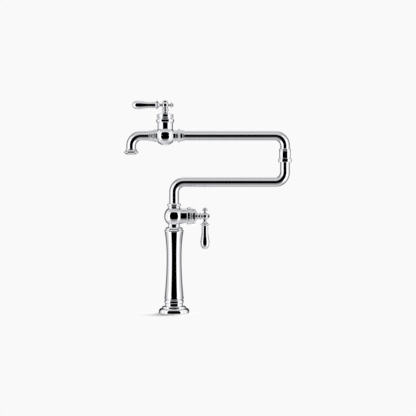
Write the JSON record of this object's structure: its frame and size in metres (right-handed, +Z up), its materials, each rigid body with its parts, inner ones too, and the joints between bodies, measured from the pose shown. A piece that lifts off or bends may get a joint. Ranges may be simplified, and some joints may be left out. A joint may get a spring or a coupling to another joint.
{
  "type": "pot filler",
  "caption": "Deck-mounted pot filler: waisted column, folding swivel arms, a ball-shaped lever valve over the column and one at the spout, short bent spout.",
  "frame": {"origin": "centre of the deck gasket's underside, on the column's axis, at the top of the deck", "axes": "+Z up along the column, +X along the folded arms toward the elbow, -Y toward the viewer of the picture"},
  "size_m": [0.3538, 0.065, 0.5204],
  "materials": {
    "chrome": "polished plated metal",
    "brass": "machined",
    "rubber": "matt",
    "ceramic": "lapped",
    "plastic": "satin",
    "steel": "zinc plated"
  },
  "bodies": {
    "column": {"deck_gasket": "rubber", "base_flange": "chrome", "base_bead": "chrome", "column": "chrome", "column_cap": "chrome", "supply_riser": "brass", "riser_o_rings": "rubber", "mounting_shank": "brass", "deck_rubber_washer": "rubber", "deck_clamp_washer": "steel", "shank_nut": "brass", "lower_swivel_nut": "chrome", "lower_valve_body": "chrome", "lower_seat_seal": "rubber", "lower_cartridge_body": "brass", "lower_fixed_disc": "ceramic", "lower_bonnet_ring": "chrome", "lower_bonnet_dome": "chrome"},
    "lower_handle": {"lower_turning_disc": "ceramic", "lower_spindle": "brass", "lower_spindle_o_rings": "rubber", "lower_hub": "chrome", "lower_handle_screw": "steel", "lower_lever": "chrome", "lower_finial": "chrome", "lower_button": "chrome"},
    "lower_arm": {"lower_arm_tube": "chrome", "lower_spigot": "brass", "lower_spigot_o_rings": "rubber", "lower_thrust_washers": "plastic", "elbow_spigot": "brass", "elbow_spigot_o_rings": "rubber", "elbow_thrust_washers": "plastic"},
    "upper_arm": {"elbow_nut": "chrome", "elbow_socket": "chrome", "upper_arm_tube": "chrome", "arm_ferrule": "chrome", "arm_union": "chrome", "spout_collar": "chrome", "spout_tube": "chrome", "outlet_housing": "chrome", "outlet_insert": "plastic", "outlet_washer": "rubber", "upper_valve_body": "chrome", "upper_seat_seal": "rubber", "upper_cartridge_body": "brass", "upper_fixed_disc": "ceramic", "upper_bonnet_ring": "chrome", "upper_bonnet_dome": "chrome"},
    "upper_handle": {"upper_turning_disc": "ceramic", "upper_spindle": "brass", "upper_spindle_o_rings": "rubber", "upper_hub": "chrome", "upper_handle_screw": "steel", "upper_lever": "chrome", "upper_finial": "chrome", "upper_button": "chrome"}
  },
  "joints": [
    {"name": "lower_handle_turn", "type": "hinge", "parent": "column", "child": "lower_handle", "pos_m": [0.065, 0, 0.204], "axis": [-1, 0, 0], "range_deg": [0, 90]},
    {"name": "lower_arm_swivel", "type": "hinge", "parent": "column", "child": "lower_arm", "pos_m": [0, 0, 0.2268], "axis": [0, 0, 1], "continuous": true},
    {"name": "elbow_swivel", "type": "hinge", "parent": "lower_arm", "child": "upper_arm", "pos_m": [0.234, 0, 0.3223], "axis": [0, 0, 1], "continuous": true},
    {"name": "upper_handle_turn", "type": "hinge", "parent": "upper_arm", "child": "upper_handle", "pos_m": [-0.0187, 0, 0.4385], "axis": [0, 0, 1], "range_deg": [0, 90]}
  ]
}
